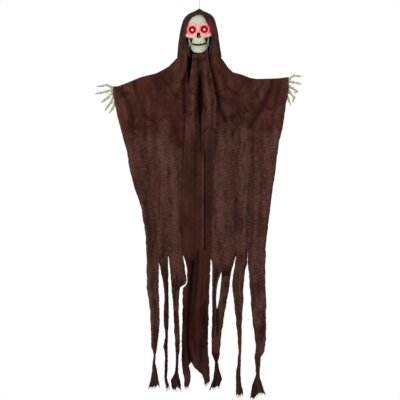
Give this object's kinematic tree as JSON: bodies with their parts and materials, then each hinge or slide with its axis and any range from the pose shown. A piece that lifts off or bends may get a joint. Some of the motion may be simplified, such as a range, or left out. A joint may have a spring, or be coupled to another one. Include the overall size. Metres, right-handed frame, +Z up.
{
  "type": "hanging skeleton ghost figure",
  "caption": "Hanging skeleton ghost: hooded plastic skull with light-up eyes and hinged jaw, bony hands on bendable arms, and a ragged dark gauze robe.",
  "frame": {"origin": "top of the hanging loop, on the cord's axis", "axes": "+Z up along the hanging cord, -Y the way the face looks, +X the figure's own left side"},
  "size_m": [0.8516, 0.2079, 1.6603],
  "materials": {
    "cord": "braided white polyester cord",
    "steel": "zinc-plated steel, satin",
    "bone_plastic": "moulded ivory plastic with an olive wash in its hollows",
    "black_plastic": "black moulded plastic, fine texture",
    "red_plastic": "translucent dark red plastic",
    "led_lens": "clear red epoxy lens, lit",
    "red_insulation": "red flexible insulation",
    "circuit_board": "green solder mask",
    "gauze": "loose-woven dark red-brown gauze, frayed edges"
  },
  "bodies": {
    "head": {"hanging_loop": "cord", "hanging_knot": "cord", "hanging_cord": "cord", "cord_hitch": "cord", "crown_eye": "steel", "crown_nut": "steel", "skull_face": "bone_plastic", "skull_back": "bone_plastic", "skull_base": "bone_plastic", "base_screw_left": "steel", "base_screw_right": "steel", "base_screw_front": "steel", "eye_cup_left": "red_plastic", "eye_cup_right": "red_plastic", "led_left": "led_lens", "led_right": "led_lens", "led_lead_left": "red_insulation", "led_lead_right": "red_insulation", "circuit_board": "circuit_board", "battery_box": "black_plastic", "battery_cell_left": "steel", "battery_cell_right": "steel", "contact_tab_left": "steel", "contact_tab_right": "steel", "contact_bridge": "steel", "switch_body": "black_plastic", "jaw_pin_left": "steel", "jaw_pin_right": "steel", "hood": "gauze"},
    "jaw": {"mandible": "bone_plastic"},
    "door": {"battery_door": "black_plastic"},
    "switch": {"switch_slider": "red_insulation"},
    "torso": {"neck_post": "black_plastic", "neck_collar": "black_plastic", "neck_screw": "steel", "hub_screw": "steel", "shoulder_bar": "black_plastic", "shoulder_rivet_left": "steel", "shoulder_rivet_right": "steel", "robe_front_left": "gauze", "robe_front_right": "gauze", "robe_back_left": "gauze", "robe_back_right": "gauze", "lining_left": "gauze", "lining_right": "gauze", "front_drape": "gauze"},
    "left_arm": {"arm_rod_left": "steel", "cuff_tie_left": "cord"},
    "right_arm": {"arm_rod_right": "steel", "cuff_tie_right": "cord"},
    "left_hand": {"hand_left": "bone_plastic"},
    "right_hand": {"hand_right": "bone_plastic"}
  },
  "joints": [
    {"name": "jaw_hinge", "type": "hinge", "parent": "head", "child": "jaw", "pos_m": [-0.00278, 0.003, -0.18091], "axis": [0.9991, 0, 0.0419], "range_deg": [-3, 15]},
    {"name": "door_slide", "type": "slide", "parent": "head", "child": "door", "axis": [0.0419, 0, -0.9991], "range_m": [0, 0.045]},
    {"name": "switch_slide", "type": "slide", "parent": "head", "child": "switch", "axis": [0.9991, 0, 0.0419], "range_m": [0, 0.0045]},
    {"name": "neck_turn", "type": "hinge", "parent": "head", "child": "torso", "pos_m": [0, 0, -0.19], "axis": [0, 0, 1], "range_deg": [-35, 35], "deforming": ["hood"]},
    {"name": "left_shoulder", "type": "hinge", "parent": "torso", "child": "left_arm", "pos_m": [0.125, 0, -0.3485], "axis": [0, -1, 0], "range_deg": [-40, 29], "deforming": ["robe_front_left", "robe_back_left", "lining_left"]},
    {"name": "right_shoulder", "type": "hinge", "parent": "torso", "child": "right_arm", "pos_m": [-0.125, 0, -0.3485], "axis": [0, 1, 0], "range_deg": [-32, 37], "deforming": ["robe_front_right", "robe_back_right", "lining_right"]},
    {"name": "left_wrist", "type": "hinge", "parent": "left_arm", "child": "left_hand", "pos_m": [0.33842, 0, -0.36417], "axis": [0.9973, 0, -0.0732], "range_deg": [-40, 40]},
    {"name": "right_wrist", "type": "hinge", "parent": "right_arm", "child": "right_hand", "pos_m": [-0.33385, 0, -0.39518], "axis": [-0.9759, 0, -0.2181], "range_deg": [-40, 40]}
  ]
}
